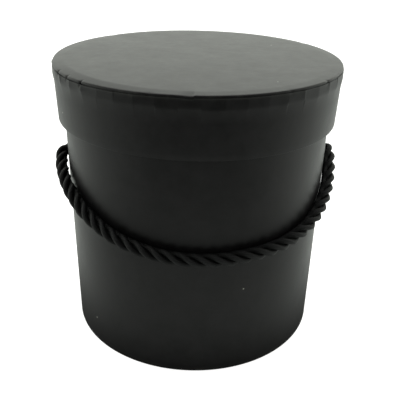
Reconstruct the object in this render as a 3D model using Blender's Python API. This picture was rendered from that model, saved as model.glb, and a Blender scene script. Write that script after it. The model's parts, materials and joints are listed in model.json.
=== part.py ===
"""Round hat box: a rigid board body, a lift-off lid and a twisted cord handle.

Units are metres, +Z is up. The origin is the centre of the base on the surface the box
stands on. The two cord holes lie on the X axis, and the cord hangs in front, towards -Y.
"""

import math

import bmesh
import bpy
from mathutils import Matrix, Vector

MM = 0.001

# Driving dimensions
BOX_HEIGHT = 161.7 * MM          # floor to the top of the closed lid
BODY_RADIUS = 75.3 * MM          # outside of the covered body at its rim
BODY_TAPER = 1.0 * MM            # the body is narrower by this at its foot
LID_RADIUS = 80.4 * MM           # outside of the lid, round its folded top edge
LID_DEPTH = 31.7 * MM            # top of the lid to the lower edge of its skirt
HOLE_HEIGHT = 107.0 * MM         # centres of the cord holes above the floor
CORD_DIAMETER = 7.2 * MM

# Sheet materials
GAP = 0.3 * MM                   # between neighbouring pieces
PAPER = 0.3 * MM
COVER_PAPER = 0.35 * MM
WALL_BOARD = 1.8 * MM
BASE_BOARD = 2.0 * MM
LID_BOARD = 2.0 * MM
LID_RIM_BOARD = 1.5 * MM
LAYER = GAP + PAPER
COVER_LAYER = GAP + COVER_PAPER

# Details
HOLE_DIAMETER = 10.0 * MM
FOLD = 0.5 * MM                  # corner of a paper fold
BASE_PAPER_INSET = 2.0 * MM      # edge of the base paper inside the body's outline
UNDER_FOLD = 12.0 * MM           # cover paper turned under the base
RIM_FOLD = 15.0 * MM             # cover paper turned in over the body's rim
LID_FOLD = 12.0 * MM             # skirt paper turned up inside the lid
LID_TAPER = 1.1 * MM             # the lid's board is narrower by this at its lower edge
WRAP_DROP = 1.2 * MM             # top of the lid down to the upper edge of the skirt paper
TAB_DEPTH = 6.4 * MM             # top of the lid down to the points of the top paper's tabs
TAB_NOTCH = 3.4 * MM
BAND_STEP = 0.8 * MM             # height over which the skirt paper steps in below the tabs
KNOT_RADIUS = 10.2 * MM
KNOT_LENGTH = 18.8 * MM
KNOT_SEAT_RADIUS = 4.0 * MM
TAIL_DROOP = math.radians(70.0)  # the cord's end hangs this far below the level
TAPE_RADIUS = 4.0 * MM
TAPE_LENGTH = 11.0 * MM

SEGMENTS = 96                    # round the box; the lid's tabs are half as many
KNOT_SEGMENTS = 20
HOLE_SEGMENTS = 20
CORD_POINTS = 64
CORD_LEAD = 1.0 * MM             # straight end of the cord, from its route to the knot
CORD_BEVEL_RESOLUTION = 3

# The cord's route between its knots, in millimetres: out of the left hole, down in front
# of the wall and back into the right hole.
CORD_ROUTE_MM = [
    (-72.0, 0.0, 107.0),
    (-75.3, -0.6, 106.6),
    (-78.4, -3.1, 105.4),
    (-78.7, -7.4, 103.2),
    (-78.1, -12.6, 101.4),
    (-76.85, -17.9, 100.1),
    (-73.8, -27.9, 97.2),
    (-68.2, -39.5, 92.9),
    (-58.6, -52.6, 87.3),
    (-43.0, -66.0, 81.5),
    (-21.7, -75.7, 77.6),
    (0.0, -78.7, 76.2),
    (21.7, -75.7, 76.8),
    (43.0, -66.0, 78.6),
    (58.6, -52.6, 82.2),
    (68.3, -39.4, 87.5),
    (73.8, -28.0, 93.2),
    (76.9, -18.0, 98.9),
    (78.0, -12.4, 102.4),
    (78.6, -7.3, 105.6),
    (78.2, -3.0, 107.5),
    (75.3, -0.6, 107.6),
    (72.0, 0.0, 107.0),
]

# Heights from the floor up through the body's layers
BASE_PAPER_TOP = COVER_PAPER
WRAP_BOTTOM = BASE_PAPER_TOP + GAP
BOARD_BOTTOM = WRAP_BOTTOM + LAYER
BASE_TOP = BOARD_BOTTOM + BASE_BOARD
FLOOR_LINING_BOTTOM = BASE_TOP + GAP

# Heights from the top of the lid down through its layers
LID_DISC_TOP = BOX_HEIGHT - COVER_LAYER
LID_DISC_BOTTOM = LID_DISC_TOP - LID_BOARD
LID_LINING_BOTTOM = LID_DISC_BOTTOM - LAYER
BODY_TOP = LID_LINING_BOTTOM - GAP
TUBE_TOP = BODY_TOP - LAYER
LID_BOTTOM = BOX_HEIGHT - LID_DEPTH
LID_BOARD_BOTTOM = LID_BOTTOM + COVER_LAYER

# Depths of the body's layers inward from its outside
TUBE_BACK = LAYER + WALL_BOARD
LINING_FRONT = TUBE_BACK + GAP
LINING_BACK = LINING_FRONT + PAPER

# The lid's board at its top, under the tabs and the skirt paper
LID_BOARD_TOP_RADIUS = LID_RADIUS - 2.0 * COVER_LAYER


def clear_scene():
    """Remove every object that the file holds."""
    for obj in list(bpy.data.objects):
        bpy.data.objects.remove(obj, do_unlink=True)


def make_material(name, color, roughness):
    """Return a Principled material with one colour and roughness."""
    material = bpy.data.materials.new(name)
    material.use_nodes = True
    material.diffuse_color = (*color, 1.0)
    shader = material.node_tree.nodes["Principled BSDF"]
    shader.inputs["Base Color"].default_value = (*color, 1.0)
    shader.inputs["Roughness"].default_value = roughness
    shader.inputs["Metallic"].default_value = 0.0
    return material


def make_empty(name, location):
    """Return an empty that carries the pieces of one moving part."""
    empty = bpy.data.objects.new(name, None)
    empty.location = location
    bpy.context.collection.objects.link(empty)
    return empty


def add_mesh_object(name, mesh_builder, material, parent=None):
    """Turn a bmesh into a smooth-shaded object, placed in its parent's frame."""
    bmesh.ops.recalc_face_normals(mesh_builder, faces=mesh_builder.faces)
    mesh = bpy.data.meshes.new(name)
    mesh_builder.to_mesh(mesh)
    mesh_builder.free()
    mesh.shade_smooth()
    mesh.set_sharp_from_angle(angle=math.radians(30.0))
    mesh.materials.append(material)
    obj = bpy.data.objects.new(name, mesh)
    bpy.context.collection.objects.link(obj)
    if parent is not None:
        obj.parent = parent
        obj.location = -parent.location
    return obj


def turned(profile, segments=SEGMENTS):
    """Spin a closed outline of (radius, height) points about Z and return the bmesh."""
    builder = bmesh.new()
    points = [builder.verts.new((radius, 0.0, height)) for radius, height in profile]
    edges = [
        builder.edges.new((points[index], points[(index + 1) % len(points)]))
        for index in range(len(points))
    ]
    bmesh.ops.spin(
        builder,
        geom=points + edges,
        cent=(0.0, 0.0, 0.0),
        axis=(0.0, 0.0, 1.0),
        angle=math.tau,
        steps=segments,
        use_merge=True,
    )
    bmesh.ops.remove_doubles(builder, verts=builder.verts, dist=1e-6)
    return builder


def body_radius(height):
    """Return the outside radius of the slightly tapered body at a height."""
    return BODY_RADIUS - BODY_TAPER * (BODY_TOP - height) / BODY_TOP


def body_wall(front, back, bottom, top):
    """Return the outline of a layer of the body's wall between two depths inward."""
    low, high = body_radius(bottom), body_radius(top)
    return [(low - back, bottom), (low - front, bottom), (high - front, top), (high - back, top)]


def disc(radius, bottom, thickness):
    """Return the bmesh of a flat round plate."""
    builder = bmesh.new()
    bmesh.ops.create_cone(
        builder,
        cap_ends=True,
        segments=SEGMENTS,
        radius1=radius,
        radius2=radius,
        depth=thickness,
        matrix=Matrix.Translation((0.0, 0.0, bottom + 0.5 * thickness)),
    )
    return builder


def punch(obj, cutter):
    """Cut the cord holes through a wall."""
    cut = obj.modifiers.new("cord_holes", "BOOLEAN")
    cut.operation = "DIFFERENCE"
    cut.solver = "EXACT"
    cut.object = cutter


def make_hole_cutter():
    """Return the rod along X that marks out both cord holes."""
    builder = bmesh.new()
    bmesh.ops.create_cone(
        builder,
        cap_ends=True,
        segments=HOLE_SEGMENTS,
        radius1=0.5 * HOLE_DIAMETER,
        radius2=0.5 * HOLE_DIAMETER,
        depth=2.4 * BODY_RADIUS,
        matrix=Matrix.Rotation(0.5 * math.pi, 4, "Y"),
    )
    mesh = bpy.data.meshes.new("cord_hole_cutter")
    builder.to_mesh(mesh)
    builder.free()
    cutter = bpy.data.objects.new("cord_hole_cutter", mesh)
    bpy.context.collection.objects.link(cutter)
    cutter.location = (0.0, 0.0, HOLE_HEIGHT)
    cutter.hide_render = True
    cutter.display_type = "WIRE"
    return cutter


def body_wrap_outline():
    """Return the outline of the cover paper: a wall folded in at the base and the rim."""
    bottom, top = WRAP_BOTTOM, BODY_TOP
    low, high = body_radius(bottom), body_radius(top)
    inner = high - LINING_BACK
    fold_end = top - RIM_FOLD
    inner_end = body_radius(fold_end) - LINING_BACK
    return [
        (low - UNDER_FOLD, bottom),
        (low - FOLD, bottom),
        (low, bottom + FOLD),
        (high, top - FOLD),
        (high - FOLD, top),
        (inner + FOLD, top),
        (inner, top - FOLD),
        (inner_end, fold_end),
        (inner_end + PAPER, fold_end),
        (inner + PAPER, top - FOLD),
        (inner + FOLD, top - PAPER),
        (high - FOLD, top - PAPER),
        (high - PAPER, top - FOLD),
        (low - PAPER, bottom + FOLD),
        (low - FOLD, bottom + PAPER),
        (low - UNDER_FOLD, bottom + PAPER),
    ]


def build_body(board, cover, lining):
    """Make the body: a board tube and base, covered outside and lined inside."""
    cutter = make_hole_cutter()

    tube_outline = body_wall(LAYER, TUBE_BACK, BOARD_BOTTOM, TUBE_TOP)
    tube = add_mesh_object("body_tube", turned(tube_outline), board)
    punch(tube, cutter)

    base_radius = body_radius(BOARD_BOTTOM) - TUBE_BACK - GAP
    add_mesh_object("base_disc", disc(base_radius, BOARD_BOTTOM, BASE_BOARD), board)

    wrap = add_mesh_object("body_wrap", turned(body_wrap_outline()), cover)
    punch(wrap, cutter)

    paper_radius = body_radius(0.0) - BASE_PAPER_INSET
    add_mesh_object("base_paper", disc(paper_radius, 0.0, COVER_PAPER), cover)

    lining_top = BODY_TOP - RIM_FOLD - GAP
    lining_outline = body_wall(LINING_FRONT, LINING_BACK, FLOOR_LINING_BOTTOM, lining_top)
    wall_lining = add_mesh_object("body_lining", turned(lining_outline), lining)
    punch(wall_lining, cutter)

    floor_radius = body_radius(FLOOR_LINING_BOTTOM) - LINING_BACK - GAP
    add_mesh_object("floor_lining", disc(floor_radius, FLOOR_LINING_BOTTOM, PAPER), lining)


def lid_board_radius(height):
    """Return the outside radius of the lid's tapered board wall at a height."""
    share = (LID_DISC_TOP - height) / (LID_DISC_TOP - LID_BOARD_BOTTOM)
    return LID_BOARD_TOP_RADIUS - LID_TAPER * share


def lid_skirt_outline():
    """Return the outline of the skirt paper: over the tabs, down, and turned up inside."""
    top = BOX_HEIGHT - WRAP_DROP
    band_bottom = BOX_HEIGHT - TAB_DEPTH - GAP
    step_bottom = band_bottom - BAND_STEP
    board_bottom = lid_board_radius(LID_BOARD_BOTTOM)
    inner_bottom = board_bottom - LID_RIM_BOARD - COVER_LAYER
    fold_top = LID_BOTTOM + LID_FOLD
    inner_top = lid_board_radius(fold_top) - LID_RIM_BOARD - COVER_LAYER
    over_tabs = 2.0 * COVER_LAYER
    outer = [
        (lid_board_radius(top) + over_tabs, top),
        (lid_board_radius(band_bottom) + over_tabs, band_bottom),
        (lid_board_radius(step_bottom) + COVER_LAYER, step_bottom),
        (board_bottom + COVER_LAYER, LID_BOTTOM + FOLD),
        (board_bottom + COVER_LAYER - FOLD, LID_BOTTOM),
        (inner_bottom + FOLD, LID_BOTTOM),
        (inner_bottom, LID_BOTTOM + FOLD),
        (inner_top, fold_top),
    ]
    inner = [
        (inner_top + COVER_PAPER, fold_top),
        (inner_bottom + COVER_PAPER, LID_BOTTOM + FOLD),
        (inner_bottom + FOLD, LID_BOTTOM + COVER_PAPER),
        (board_bottom + COVER_LAYER - FOLD, LID_BOTTOM + COVER_PAPER),
        (board_bottom + GAP, LID_BOTTOM + FOLD),
        (lid_board_radius(step_bottom) + GAP, step_bottom),
        (lid_board_radius(band_bottom) + over_tabs - COVER_PAPER, band_bottom),
        (lid_board_radius(top) + over_tabs - COVER_PAPER, top),
    ]
    return outer + inner


def lid_top_mesh():
    """Return the top paper: a disc folded down over the rim, its edge cut into tabs."""
    edge = LID_BOARD_TOP_RADIUS + COVER_LAYER
    tab_bottom = BOX_HEIGHT - TAB_DEPTH
    tab_outer = lid_board_radius(tab_bottom) + COVER_LAYER
    outline = [
        (0.0, BOX_HEIGHT),
        (edge - FOLD, BOX_HEIGHT),
        (edge, BOX_HEIGHT - FOLD),
        (tab_outer, tab_bottom),
        (tab_outer - COVER_PAPER, tab_bottom),
        (edge - COVER_PAPER, BOX_HEIGHT - FOLD),
        (edge - FOLD, BOX_HEIGHT - COVER_PAPER),
        (0.0, BOX_HEIGHT - COVER_PAPER),
    ]
    builder = turned(outline)
    step = math.tau / SEGMENTS
    for vert in builder.verts:
        if vert.co.z < tab_bottom + 0.5 * TAB_NOTCH:
            place = round(math.atan2(vert.co.y, vert.co.x) / step)
            if place % 2:
                vert.co.z += TAB_NOTCH
    return builder


def build_lid(lid, board, cover, lining):
    """Make the lid: a board disc in a board rim, covered outside and lined inside."""
    rim_top_inner = LID_BOARD_TOP_RADIUS - LID_RIM_BOARD
    rim_bottom_outer = lid_board_radius(LID_BOARD_BOTTOM)
    rim_outline = [
        (rim_bottom_outer - LID_RIM_BOARD, LID_BOARD_BOTTOM),
        (rim_bottom_outer, LID_BOARD_BOTTOM),
        (LID_BOARD_TOP_RADIUS, LID_DISC_TOP),
        (rim_top_inner, LID_DISC_TOP),
    ]
    add_mesh_object("lid_rim", turned(rim_outline), board, lid)

    disc_radius = lid_board_radius(LID_DISC_BOTTOM) - LID_RIM_BOARD - GAP
    add_mesh_object("lid_disc", disc(disc_radius, LID_DISC_BOTTOM, LID_BOARD), board, lid)
    add_mesh_object("lid_top_paper", lid_top_mesh(), cover, lid)
    add_mesh_object("lid_skirt_wrap", turned(lid_skirt_outline()), cover, lid)

    lining_top = LID_DISC_BOTTOM - GAP
    lining_bottom = LID_BOTTOM + LID_FOLD + GAP
    top_radius = lid_board_radius(lining_top) - LID_RIM_BOARD - GAP
    bottom_radius = lid_board_radius(lining_bottom) - LID_RIM_BOARD - GAP
    lining_outline = [
        (bottom_radius - PAPER, lining_bottom),
        (bottom_radius, lining_bottom),
        (top_radius, lining_top),
        (top_radius - PAPER, lining_top),
    ]
    add_mesh_object("lid_rim_lining", turned(lining_outline), lining, lid)

    disc_lining = disc(top_radius - PAPER - GAP, LID_LINING_BOTTOM, PAPER)
    add_mesh_object("lid_disc_lining", disc_lining, lining, lid)


def smooth_route(route, count):
    """Return evenly spaced points on a smooth curve through the route's points."""
    knots = [0.0]
    for start, end in zip(route, route[1:]):
        knots.append(knots[-1] + (end - start).length)
    last = len(route) - 1
    tangents = []
    for index in range(len(route)):
        before = max(index - 1, 0)
        after = min(index + 1, last)
        span = knots[after] - knots[before]
        tangents.append((route[after] - route[before]) / span)
    tangents[0] = Vector((math.copysign(1.0, route[0].x), 0.0, 0.0))
    tangents[last] = Vector((-math.copysign(1.0, route[last].x), 0.0, 0.0))

    points = []
    place = 0
    for step in range(count):
        distance = knots[last] * step / (count - 1)
        while place < last - 1 and distance > knots[place + 1]:
            place += 1
        width = knots[place + 1] - knots[place]
        share = (distance - knots[place]) / width
        square = share * share
        cube = square * share
        point = route[place] * (2.0 * cube - 3.0 * square + 1.0)
        point += route[place + 1] * (3.0 * square - 2.0 * cube)
        point += tangents[place] * width * (cube - 2.0 * square + share)
        point += tangents[place + 1] * width * (cube - square)
        points.append(point)
    return points


def build_cord(handle, cord):
    """Make the cord as a tube that hangs from hole to hole in front of the body."""
    route = [Vector(point) * MM - handle.location for point in CORD_ROUTE_MM]
    lead = Vector((CORD_LEAD, 0.0, 0.0))
    points = [route[0] + lead] + smooth_route(route, CORD_POINTS) + [route[-1] - lead]
    curve = bpy.data.curves.new("handle_cord", "CURVE")
    curve.dimensions = "3D"
    curve.bevel_depth = 0.5 * CORD_DIAMETER
    curve.bevel_resolution = CORD_BEVEL_RESOLUTION
    curve.use_fill_caps = True
    spline = curve.splines.new("POLY")
    spline.points.add(len(points) - 1)
    for spline_point, point in zip(spline.points, points):
        spline_point.co = (*point, 1.0)
    curve.materials.append(cord)
    obj = bpy.data.objects.new("handle_cord", curve)
    bpy.context.collection.objects.link(obj)
    obj.parent = handle


def build_knot(handle, side, side_name, cord, tape):
    """Make one stopper knot inside the wall and the taped end that hangs from it."""
    outline = [
        (0.0, 0.0),
        (KNOT_SEAT_RADIUS, 0.0),
        (0.80 * KNOT_RADIUS, 0.14 * KNOT_LENGTH),
        (KNOT_RADIUS, 0.40 * KNOT_LENGTH),
        (KNOT_RADIUS, 0.60 * KNOT_LENGTH),
        (0.80 * KNOT_RADIUS, 0.86 * KNOT_LENGTH),
        (0.45 * KNOT_RADIUS, KNOT_LENGTH),
        (0.0, KNOT_LENGTH),
    ]
    inward = -side
    seat = side * (body_radius(HOLE_HEIGHT) - LINING_BACK - CORD_LEAD - GAP)
    knot = add_mesh_object(side_name + "_knot", turned(outline, KNOT_SEGMENTS), cord)
    knot.parent = handle
    knot.location = (seat, 0.0, 0.0)
    knot.rotation_euler = (0.0, inward * 0.5 * math.pi, 0.0)

    tape_outline = [(0.0, 0.0), (TAPE_RADIUS, 0.0), (TAPE_RADIUS, TAPE_LENGTH), (0.0, TAPE_LENGTH)]
    end = add_mesh_object(side_name + "_end_tape", turned(tape_outline, KNOT_SEGMENTS), tape)
    end.parent = handle
    middle = seat + inward * 0.5 * KNOT_LENGTH
    reach = KNOT_RADIUS + GAP
    across = inward * reach * math.cos(TAIL_DROOP)
    end.location = (middle + across, 0.0, -reach * math.sin(TAIL_DROOP))
    end.rotation_euler = (0.0, inward * (0.5 * math.pi + TAIL_DROOP), 0.0)


def main():
    """Build the closed hat box with its cord hanging in front."""
    clear_scene()
    board = make_material("grey_board", (0.20, 0.19, 0.175), 0.9)
    cover = make_material("black_cover_paper", (0.018, 0.018, 0.018), 0.5)
    lining = make_material("black_lining_paper", (0.022, 0.022, 0.022), 0.65)
    cord = make_material("black_twisted_cord", (0.008, 0.008, 0.009), 0.55)
    tape = make_material("black_tape", (0.010, 0.010, 0.010), 0.3)

    build_body(board, cover, lining)

    lid = make_empty("lid_seat", (0.0, 0.0, BODY_TOP))
    build_lid(lid, board, cover, lining)

    handle = make_empty("handle_pivot", (0.0, 0.0, HOLE_HEIGHT))
    build_cord(handle, cord)
    build_knot(handle, -1.0, "left", cord, tape)
    build_knot(handle, 1.0, "right", cord, tape)


main()
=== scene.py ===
"""Looks for the round hat box: folded cover papers, linings, boards and a twisted cord."""

import json
import math

import bmesh
import bpy
import numpy as np
from mathutils import Matrix, Vector, noise
from numpy.linalg import norm


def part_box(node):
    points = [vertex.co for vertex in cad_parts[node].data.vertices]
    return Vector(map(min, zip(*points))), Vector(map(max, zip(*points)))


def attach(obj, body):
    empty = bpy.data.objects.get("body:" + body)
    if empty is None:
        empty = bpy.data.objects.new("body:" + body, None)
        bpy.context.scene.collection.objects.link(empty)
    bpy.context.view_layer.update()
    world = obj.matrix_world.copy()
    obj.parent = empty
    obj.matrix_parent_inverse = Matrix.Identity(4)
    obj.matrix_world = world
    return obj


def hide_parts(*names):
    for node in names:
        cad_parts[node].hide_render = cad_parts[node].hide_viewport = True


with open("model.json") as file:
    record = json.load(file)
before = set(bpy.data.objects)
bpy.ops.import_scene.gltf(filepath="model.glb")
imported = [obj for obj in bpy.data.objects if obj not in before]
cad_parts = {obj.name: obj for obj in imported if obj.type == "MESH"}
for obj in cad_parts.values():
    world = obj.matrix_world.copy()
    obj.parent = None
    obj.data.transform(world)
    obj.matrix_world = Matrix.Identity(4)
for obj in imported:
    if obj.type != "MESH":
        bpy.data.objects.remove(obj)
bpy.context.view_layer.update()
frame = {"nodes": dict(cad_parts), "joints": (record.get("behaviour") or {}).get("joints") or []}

MM = 0.001

# ---- camera
CAMERA_PLACE = (-18.5 * MM, -330.1 * MM, 233.2 * MM)
CAMERA_DOWN = math.radians(26.01)
CAMERA_RIGHT = math.radians(3.72)
CAMERA_ROLL = math.radians(1.41)
CAMERA_LENS = 52.94
SENSOR_WIDTH = 36.0

# ---- places from the frame
BODY_LOW, BODY_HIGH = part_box("body_wrap")
SKIRT_LOW, SKIRT_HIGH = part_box("lid_skirt_wrap")
TOP_LOW, TOP_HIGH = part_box("lid_top_paper")
KNOT_LOW, KNOT_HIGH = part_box("left_knot")
JOINTS = {joint["name"]: joint for joint in frame["joints"]}
HOLE_HEIGHT = JOINTS["handle_swing"]["pos_m"][2]
LID_RADIUS = SKIRT_HIGH.x


def outside_line(name):
    """Return a function that gives a tapered CAD ring's outside radius at a height."""
    low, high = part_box(name)
    middle = 0.5 * (low.z + high.z)
    points = [(vert.co.xy.length, vert.co.z) for vert in frame["nodes"][name].data.vertices]
    low_radius, low_z = max(point for point in points if point[1] < middle)
    high_radius, high_z = max(point for point in points if point[1] > middle)
    slope = (high_radius - low_radius) / (high_z - low_z)
    return lambda height: low_radius + slope * (height - low_z)


BODY_LINE = outside_line("body_wrap")
LINING_LINE = outside_line("body_lining")
LID_BOARD = outside_line("lid_rim")

# ---- paper
PAPER = 0.3 * MM
COVER_PAPER = 0.35 * MM
GAP = 0.3 * MM
COVER_LAYER = COVER_PAPER + GAP
TAB_GAP = 0.22 * MM
TAB_LAYER = COVER_PAPER + TAB_GAP
FOLD_RADIUS = 0.55 * MM
UNDER_FOLD = 12.0 * MM
RIM_FOLD = 15.0 * MM
LID_FOLD = 12.0 * MM
TOP_FOLD_RADIUS = 0.7 * MM
HOLE_RADIUS = 5.0 * MM
HOLE_POINTS = 48
CUTTER_LENGTH = 2.4  # body radii, enough to cut both holes at once
TAB_COUNT = 48
TAB_PITCH = math.tau / TAB_COUNT
TAB_START = math.radians(-1.8)
TAB_LIFT = 0.62 * MM  # of the skirt paper over the tabs
TAB_LEAN = 0.30 * MM
LEAN_UNEVEN = 0.6  # share by which the lean differs from tab to tab
LEAN_SEED = 1927
LEAN_FOOT = 1.0 * MM  # below a tab's end, where the lean starts
TAB_UNEVEN = 0.09 * MM
TAB_LENGTHS = 0.6 * MM  # by which the tabs' ends differ
TAB_SPAN = (-3.8 * MM, 0.6 * MM)  # from a tab's end, over which the paper lifts
TAB_CORNER = 0.5 * MM
EDGE_RING = 6.8 * MM  # width of the ring inside the lid's top edge
EDGE_FALL = 0.36 * MM
FALL_CURVE = 1.2
CRUSHED_ANGLE = math.radians(-58.0)
CRUSHED_WIDTH = math.radians(30.0)
CRUSHED_FALL = 1.0 * MM
LAP_ANGLE = math.radians(-4.5)  # a fold in the edge, over the end of one tab
LAP_WIDTH = math.radians(6.0)
LAP_STEP = 0.006  # radians
LAP_FALL = 0.5 * MM
WEAR_WIDTH = 1.2 * MM  # of the wear on each side of a fold
CUT_HIGHLIGHT_WIDTH = 0.55 * MM  # of the painted highlight along a cut edge
TURN_STEPS = 192
DISC_STEPS = 96
COVER_STEP = 3.0 * MM  # between the points of an outline's straights
LINING_STEP = 4.0 * MM

# Slow waves where a paper isn't stuck quite flat: height, waves per metre and seed
WALL_WAVES = (0.06 * MM, 18.0, 1)
LINING_WAVES = (0.04 * MM, 25.0, 2)
DISC_WAVES = (0.035 * MM, 30.0, 3)
SKIRT_WAVES = (0.06 * MM, 22.0, 4)
TOP_WAVES = (0.02 * MM, 22.0, 5)
EDGE_WAVES = (0.35, 25.0, 6)  # whose height is a share of the edge's fall
FLAT_MIDDLE = (0.0, 0.01)  # radii between which a disc's waves set in

# ---- cord
CORD_RADIUS = 3.6 * MM
CORD_LAY = 23.5 * MM  # in which a strand goes once round
STRANDS = 3
STRAND_RADIUS = 0.452 * CORD_RADIUS
STRAND_OFFSET = CORD_RADIUS - STRAND_RADIUS
STRAND_POINTS = 24
STRAND_REACH = 148.0  # degrees each way from a strand's top
CORD_STEP = 0.8 * MM
CORD_SHARP_ANGLE = 60.0
CORD_WOBBLE = 0.02  # of the radius
CORD_WOBBLE_PLACE = (40.0, 3.7)  # in the noise: steps per turn and row
PRESSED_SHARE = (0.3, 0.75)  # how squarely the cord must face the wall
PRESSED_GAP = 0.1 * MM  # left between a pressed strand and the wall
PRESSED_FROM = (29.0 * MM, 42.0 * MM)  # from the left hole, where the cord hangs free
UNPRESSED_REACH = 0.84  # cord radii, where it hangs free of the wall
PRESSED_REACH = (1.17, 1.30)  # cord radii from the wall where pressing starts to fade

# The tied knot, in cord diameters
KNOT_LENGTH = 14.0
KNOT_SPACING = 0.25  # between the points of its centreline
KNOT_NEAREST = 0.9  # between stretches that touch
KNOT_APART = 1.5  # along the cord, beyond which stretches can touch
KNOT_ROUNDS = 1600
KNOT_PASSES = 6
KNOT_PULL = 0.03
KNOT_SMOOTHING = 0.08
KNOT_TURN = 2.3  # reach of the loose knot's polynomial
KNOT_SAMPLES = 1200
KNOT_CORE = 12  # points each way from its middle
KNOT_END = 3  # points over which an end's direction is taken

TAPE = 0.25 * MM
TAPE_FIT = 1.02  # cord radii
TAPE_LOBES = 0.035
TAPE_LAP = 0.12 * MM
TAPE_LAP_ANGLE = 0.3
TAPE_LAP_SPAN = (-0.05, 0.05)
TAPE_ROWS = 14  # in steps of the cord
TAPE_POINTS = 48

# The cord's route in millimetres: out of the left hole, down in front of the wall and back
# into the right hole
CORD_ROUTE_MM = [
    (-72.0, 0.0, 107.0), (-75.3, -0.6, 106.6), (-78.4, -3.1, 105.4), (-78.7, -7.4, 103.2),
    (-78.1, -12.6, 101.4), (-76.85, -17.9, 100.1), (-73.8, -27.9, 97.2), (-68.2, -39.5, 92.9),
    (-58.6, -52.6, 87.3), (-43.0, -66.0, 81.5), (-21.7, -75.7, 77.6), (0.0, -78.7, 76.2),
    (21.7, -75.7, 76.8), (43.0, -66.0, 78.6), (58.6, -52.6, 82.2), (68.3, -39.4, 87.5),
    (73.8, -28.0, 93.2), (76.9, -18.0, 98.9), (78.0, -12.4, 102.4), (78.6, -7.3, 105.6),
    (78.2, -3.0, 107.5), (75.3, -0.6, 107.6), (72.0, 0.0, 107.0),
]
ROUTE_POINTS = 500
ROUTE_GAP = 0.5 * MM  # left clear where a knot joins the route
ROUTE_PASSES = 2  # of smoothing


def new_object(name, data):
    """Add an object to the scene."""
    obj = bpy.data.objects.new(name, data)
    bpy.context.scene.collection.objects.link(obj)
    return obj


def add_camera():
    """Put the camera where the box is seen from: in front, above and a little to the left."""
    data = bpy.data.cameras.new("camera")
    data.lens = CAMERA_LENS
    data.sensor_width = SENSOR_WIDTH
    data.clip_start = 0.01
    camera = new_object("camera", data)
    turn = Matrix.Rotation(-CAMERA_RIGHT, 4, "Z")
    tilt = Matrix.Rotation(0.5 * math.pi - CAMERA_DOWN, 4, "X")
    roll = Matrix.Rotation(CAMERA_ROLL, 4, "Z")
    camera.matrix_world = Matrix.Translation(CAMERA_PLACE) @ turn @ tilt @ roll
    bpy.context.scene.camera = camera


# ---- materials
# Noise scales are in waves per metre.
FIBRE_SCALE = 1400.0
CLOUD_SCALE = 90.0
PATCH_SCALE = 210.0
DUST_SCALE = 85.0
DUST_SIZE = (0.035, 0.05)  # radius of a speck and of its soft edge, in dust cells
DUST_SHARE = (0.90, 0.91)  # of the cells that hold no speck
DUST_COLOR = (0.22, 0.22, 0.20)
CLOUD_CONTRAST = (0.55, 1.55)
CLOUD_ROUGHNESS = 0.03
WORN_MOST = 0.75
CUT_EDGE_HIGHLIGHT_COLOR = (0.012, 0.012, 0.0115)  # painted highlight along the paper's cut edges
YARNS_AROUND = 16.0  # yarns round a strand
YARN_SLANT = 9.0
GROOVE_SHADE_SHARE = (0.10, 0.22)  # of a turn from a strand's top to its sides, where painted shade darkens it
YARN_WOBBLE = 3.0  # radians
MIDDLE = (0.35, 0.65)  # of a noise's values
WIDER = (0.3, 0.7)
SMOOTH = "SMOOTHSTEP"
# Colour, colour where worn, roughness, specular level and dust
COVER_LOOK = ((0.0031, 0.0028, 0.0031), (0.013, 0.013, 0.012), 0.40, 0.10, 0.8)
LINING_LOOK = ((0.016, 0.016, 0.0155), (0.03, 0.03, 0.028), 0.65, 0.3, 0.0)


def node_adder(tree):
    """Return a function that adds a node, whose inputs are plain values or outputs."""

    def add(kind, inputs=None, **settings):
        node = tree.nodes.new(kind)
        for key, value in settings.items():
            setattr(node, key, value)
        for socket, value in (inputs or {}).items():
            if isinstance(value, bpy.types.NodeSocket):
                tree.links.new(value, node.inputs[socket])
            else:
                node.inputs[socket].default_value = value
        return node

    return add


def new_material(name, color, roughness, specular, light=(1.0, 1.0, 1.0), glow=0.0):
    """Return a Principled material, its places and functions to add nodes and feed them in."""
    material = bpy.data.materials.new(name)
    material.use_nodes = True
    tree = material.node_tree
    shader = tree.nodes["Principled BSDF"]
    shader.inputs["Base Color"].default_value = (*color, 1.0)
    shader.inputs["Roughness"].default_value = roughness
    shader.inputs["Specular IOR Level"].default_value = specular
    shader.inputs["Emission Color"].default_value = (*light, 1.0)
    shader.inputs["Emission Strength"].default_value = glow
    add = node_adder(tree)

    def feed(**sources):
        for socket, source in sources.items():
            tree.links.new(source, shader.inputs[socket.replace("_", " ")])

    return material, add("ShaderNodeTexCoord").outputs["Object"], add, feed


def noise_node(add, place, scale, detail, rough):
    """Return the value of a noise texture."""
    inputs = {"Vector": place, "Scale": scale, "Detail": detail, "Roughness": rough}
    return add("ShaderNodeTexNoise", inputs).outputs["Fac"]


def range_node(add, value, low, high, to_low=0.0, to_high=1.0, blend="LINEAR"):
    """Map a value from one range to another, clamped at both ends."""
    inputs = {"Value": value, "From Min": low, "From Max": high}
    inputs.update({"To Min": to_low, "To Max": to_high})
    return add("ShaderNodeMapRange", inputs, interpolation_type=blend).outputs["Result"]


def mix_color(add, share, *colors):
    """Mix two colours, each a plain colour or another node's output."""
    first, second = ((*color, 1.0) if isinstance(color, tuple) else color for color in colors)
    inputs = {0: share, 6: first, 7: second}
    return add("ShaderNodeMix", inputs, data_type="RGBA").outputs[2]


def math_node(add, operation, *values):
    """Return a sum, product or the like of plain values or other nodes' outputs."""
    return add("ShaderNodeMath", dict(enumerate(values)), operation=operation).outputs[0]


def multiply(add, product, *factors):
    """Return the product of several values."""
    for factor in factors:
        product = math_node(add, "MULTIPLY", product, factor)
    return product


def bump_node(add, height, strength, distance, under=None):
    """Return a bumped normal, laid over another bump where one is given."""
    inputs = {"Height": height, "Strength": strength, "Distance": distance}
    if under:
        inputs["Normal"] = under
    return add("ShaderNodeBump", inputs).outputs[0]


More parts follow.
